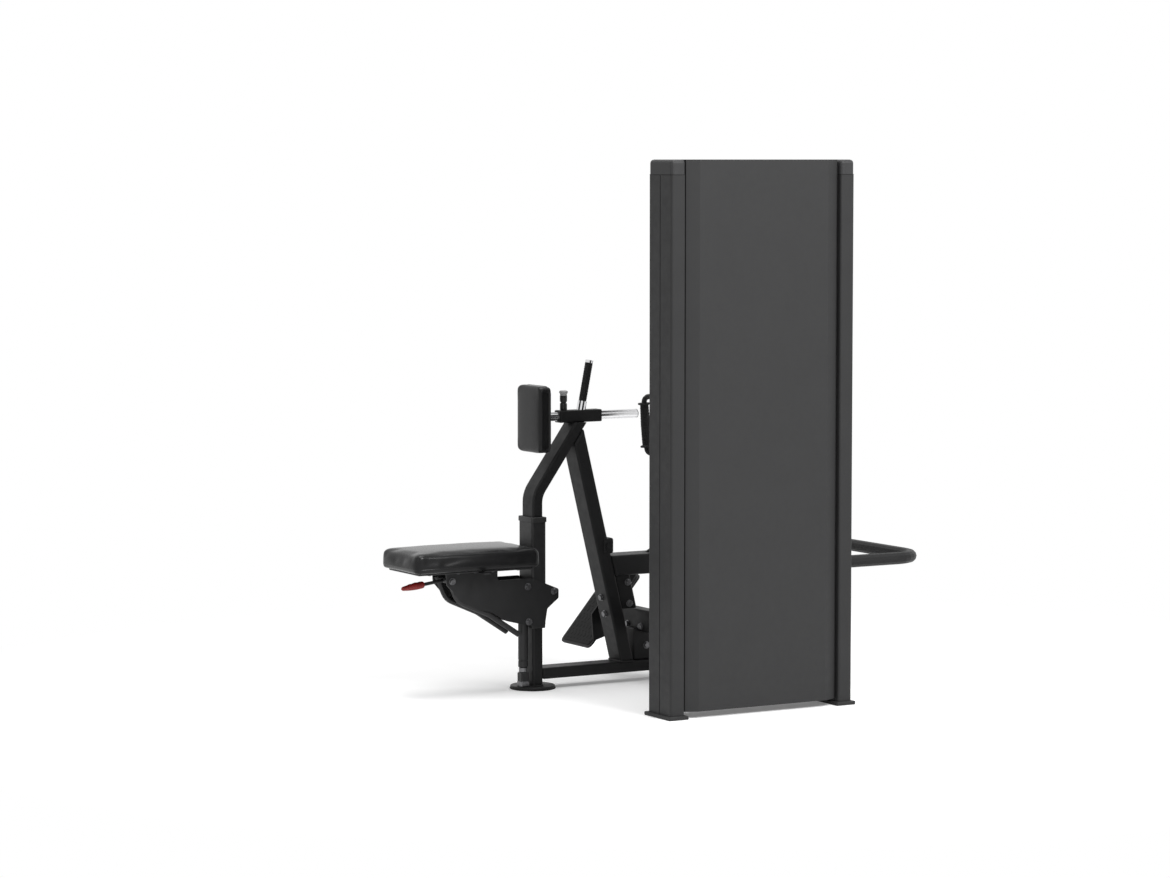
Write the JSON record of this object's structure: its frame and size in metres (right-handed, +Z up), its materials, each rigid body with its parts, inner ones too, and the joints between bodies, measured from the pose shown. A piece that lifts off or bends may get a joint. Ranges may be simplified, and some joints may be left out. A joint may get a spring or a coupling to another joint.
{
  "type": "iso-lateral row machine",
  "caption": "Seated row machine with independent hanging arms, a height-adjustable seat, a sliding chest pad, footplates and a pin-selected weight stack in a side tower.",
  "frame": {"origin": "centre of the underside of the round front foot, on the floor", "axes": "+Z up, +Y the way the user faces, +X the user's right, where the tower stands"},
  "size_m": [1.298, 1.7013, 1.85],
  "materials": {
    "black_paint": "satin powder coat",
    "charcoal_paint": "fine textured powder coat",
    "charcoal_plastic": "fine grain",
    "chrome": "polished",
    "steel": "zinc plated",
    "aluminium": "machined",
    "rubber": "ribbed, matte",
    "vinyl": "grained vinyl",
    "red_plastic": "moulded",
    "black_plastic": "moulded",
    "iron": "black painted"
  },
  "bodies": {
    "frame": {"front_foot": "black_paint", "front_post": "black_paint", "rear_leg": "black_paint", "base_tube": "black_paint", "rear_foot": "black_paint", "rear_post": "black_paint", "main_beam": "black_paint", "mast": "black_paint", "cross_tube": "black_paint", "brace_loop": "black_paint", "footrest_crossbar": "black_paint", "footplate_left": "black_paint", "footplate_right": "black_paint", "pad_sleeve": "black_paint", "brace_grip": "rubber", "brace_grip_collar": "chrome", "brace_grip_cap": "chrome", "gas_cylinder": "black_paint", "arm_shaft": "steel", "arm_stop_bar": "black_paint", "arm_cable_left": "black_plastic", "arm_cable_right": "black_plastic", "cable_housing": "black_paint", "tower_upright_front": "charcoal_paint", "tower_upright_rear": "charcoal_paint", "tower_cap": "charcoal_plastic", "outer_panel": "charcoal_paint", "tower_base": "black_paint", "pulley_hanger": "black_paint", "guide_rod_front": "chrome", "guide_rod_rear": "chrome", "stack_blocks_resting": "iron", "main_cable": "black_plastic"},
    "carriage": {"carriage_sleeve": "black_paint", "side_plate_left": "black_paint", "side_plate_right": "black_paint", "spring_pin": "steel", "rear_pin": "steel", "lever_pin": "steel", "gas_rod": "chrome", "seat_board": "black_paint", "seat_pad": "vinyl"},
    "lever": {"seat_lever": "black_paint", "lever_grip": "red_plastic"},
    "chest": {"chest_pad": "vinyl", "chest_board": "black_paint", "chest_tube": "chrome"},
    "pop_pin": {"pop_pin": "black_plastic"},
    "left_arm": {"arm_left": "black_paint", "cam_left": "aluminium", "row_grip_left": "rubber"},
    "right_arm": {"arm_right": "black_paint", "cam_right": "aluminium", "row_grip_right": "rubber"},
    "stack": {"stack_blocks_lifted": "iron", "stack_top_block": "iron", "selector_stem": "chrome"},
    "selector": {"selector_pin": "red_plastic"},
    "corner_pulley": {"corner_pulley": "black_plastic"},
    "top_pulley": {"top_pulley": "black_plastic"}
  },
  "joints": [
    {"name": "seat_height", "type": "slide", "parent": "frame", "child": "carriage", "axis": [0, 0, 1], "range_m": [-0.055, 0.045]},
    {"name": "seat_lever_lift", "type": "hinge", "parent": "carriage", "child": "lever", "pos_m": [0, -0.345, 0.402], "axis": [-1, 0, 0], "range_deg": [0, 12], "stiffness_Nm_per_rad": 1.5, "springref_deg": -5.73},
    {"name": "chest_slide", "type": "slide", "parent": "frame", "child": "chest", "axis": [0, 1, 0], "range_m": [-0.1, 0.04]},
    {"name": "pop_pin_pull", "type": "slide", "parent": "frame", "child": "pop_pin", "axis": [0, 0, 1], "range_m": [0, 0.01], "stiffness_N_per_m": 800, "springref_m": -0.003},
    {"name": "left_arm_swing", "type": "hinge", "parent": "frame", "child": "left_arm", "pos_m": [-0.25, 0.70605, 1.63], "axis": [-1, 0, 0], "range_deg": [0, 40]},
    {"name": "right_arm_swing", "type": "hinge", "parent": "frame", "child": "right_arm", "pos_m": [0.25, 0.70605, 1.63], "axis": [-1, 0, 0], "range_deg": [0, 40]},
    {"name": "stack_lift", "type": "slide", "parent": "frame", "child": "stack", "axis": [0, 0, 1], "range_m": [0, 0.4]},
    {"name": "selector_pin_pull", "type": "slide", "parent": "stack", "child": "selector", "axis": [-1, 0, 0], "range_m": [0, 0.06]},
    {"name": "corner_pulley_spin", "type": "hinge", "parent": "frame", "child": "corner_pulley", "pos_m": [0.767, 0.645, 1.77], "axis": [0, 0, 1], "range_deg": [0, 605]},
    {"name": "top_pulley_spin", "type": "hinge", "parent": "frame", "child": "top_pulley", "pos_m": [0.805, 0.438, 1.732], "axis": [-1, 0, 0], "range_deg": [0, 605]}
  ],
  "couplings": [
    {"joint": "corner_pulley_spin", "follows": "stack_lift", "rad_per_m": 26.316},
    {"joint": "top_pulley_spin", "follows": "stack_lift", "rad_per_m": 26.316}
  ]
}
